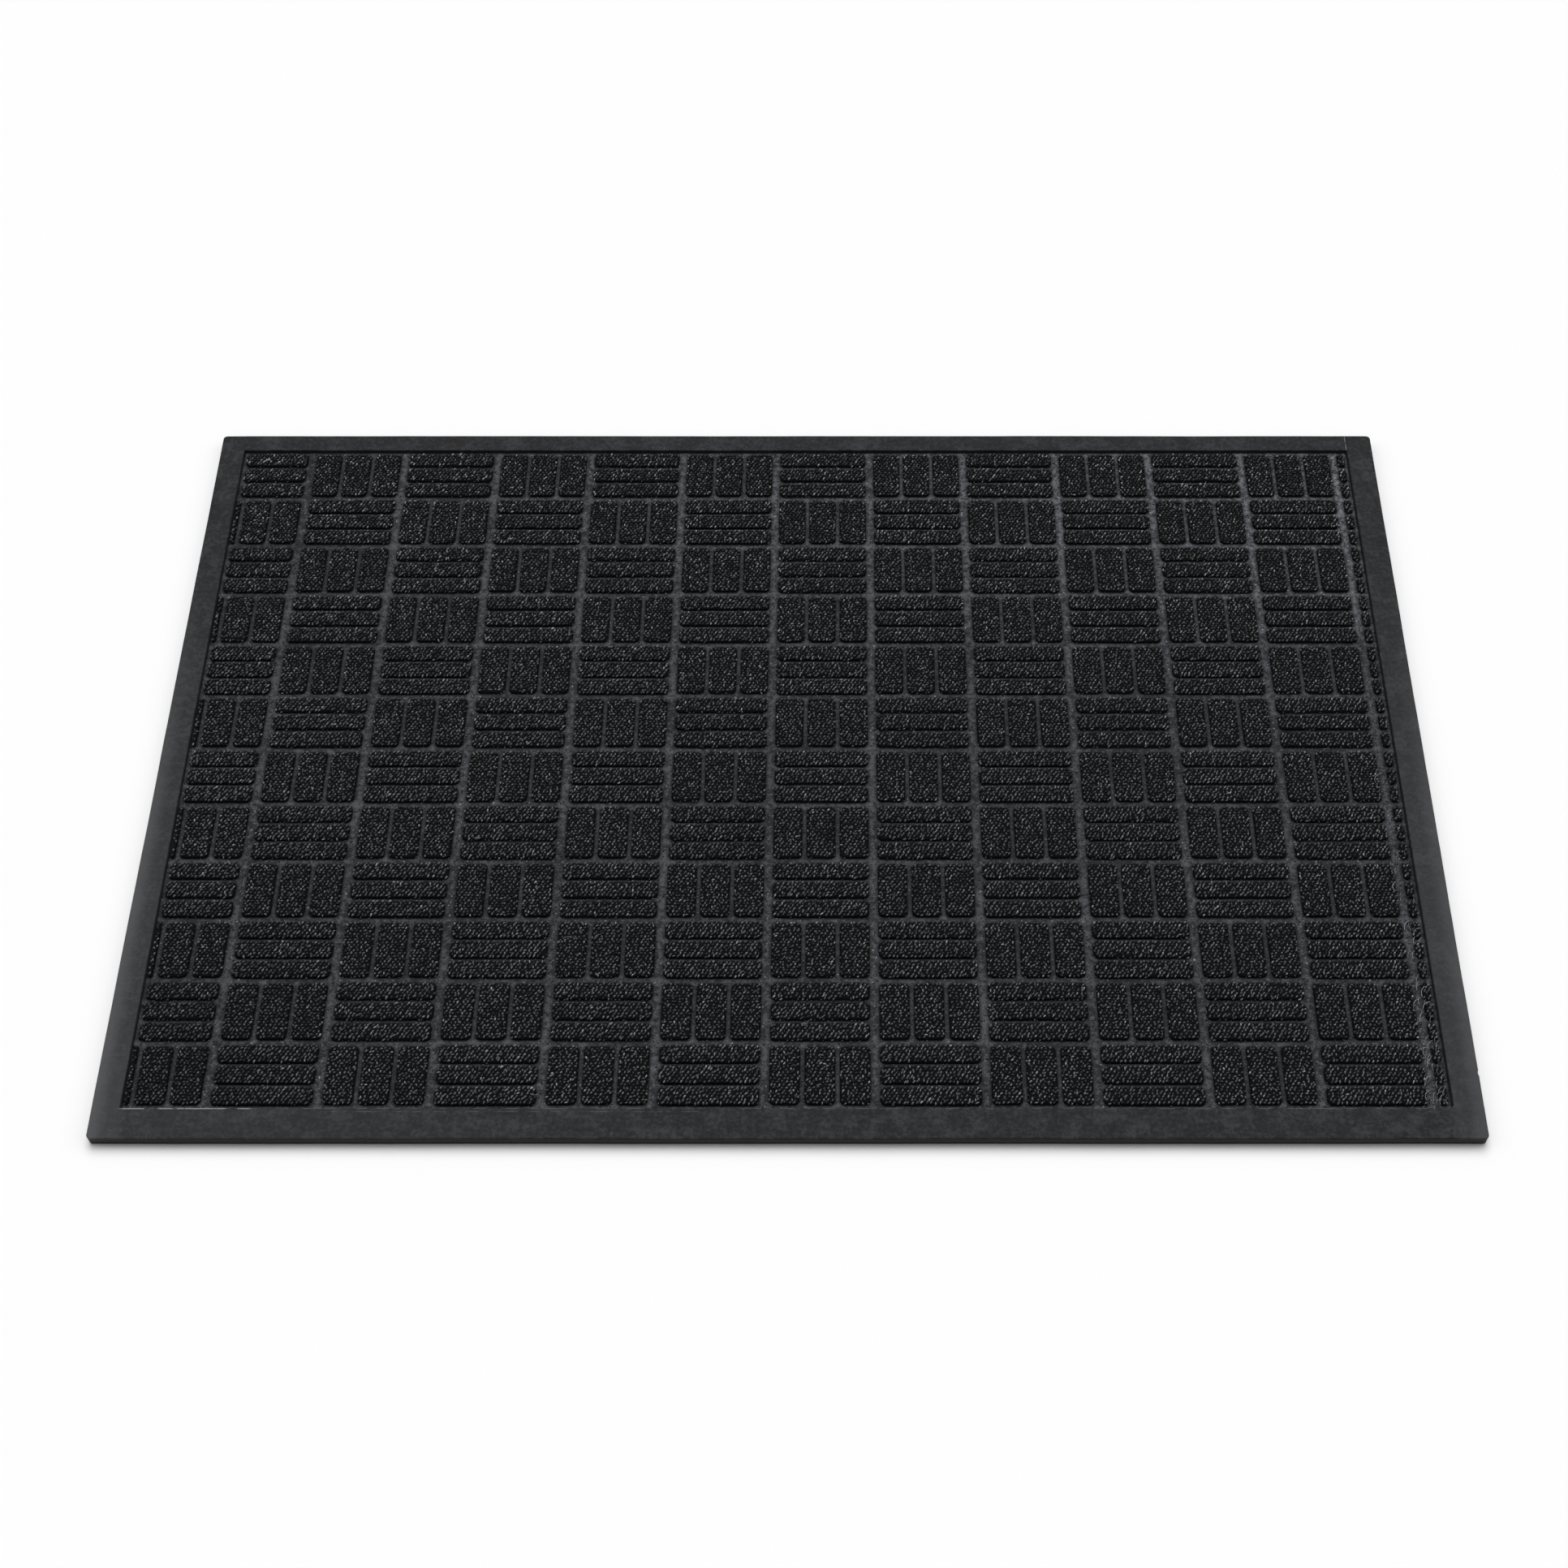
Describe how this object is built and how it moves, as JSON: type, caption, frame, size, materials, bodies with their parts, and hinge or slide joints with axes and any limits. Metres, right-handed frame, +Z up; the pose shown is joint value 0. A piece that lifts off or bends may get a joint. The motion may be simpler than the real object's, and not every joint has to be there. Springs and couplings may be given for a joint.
{
  "type": "door mat",
  "caption": "Rectangular indoor door mat: charcoal loop-pile carpet pressed into a basket-weave block pattern, on a rubber base with a flat rubber border.",
  "frame": {"origin": "centre of the mat's footprint on the floor (bottom centre of the bounding box)", "axes": "+X along the long side, +Y from the front edge to the back edge, +Z up out of the pile"},
  "size_m": [0.914, 0.61, 0.0095],
  "materials": {
    "base_rubber": "matte moulded rubber",
    "border_rubber": "matte moulded rubber, faintly mottled",
    "hot_melt": "satin adhesive film",
    "ground_cloth": "woven tape cloth",
    "pile_fibre": "heather loop pile, matte"
  },
  "bodies": {
    "root": {"rubber_base_sheet": "base_rubber", "border_strip_left": "border_rubber", "border_strip_right": "border_rubber", "border_strip_front": "border_rubber", "border_strip_back": "border_rubber", "bonding_film": "hot_melt", "carpet_ground_cloth": "ground_cloth", "carpet_pile": "pile_fibre"}
  },
  "joints": []
}
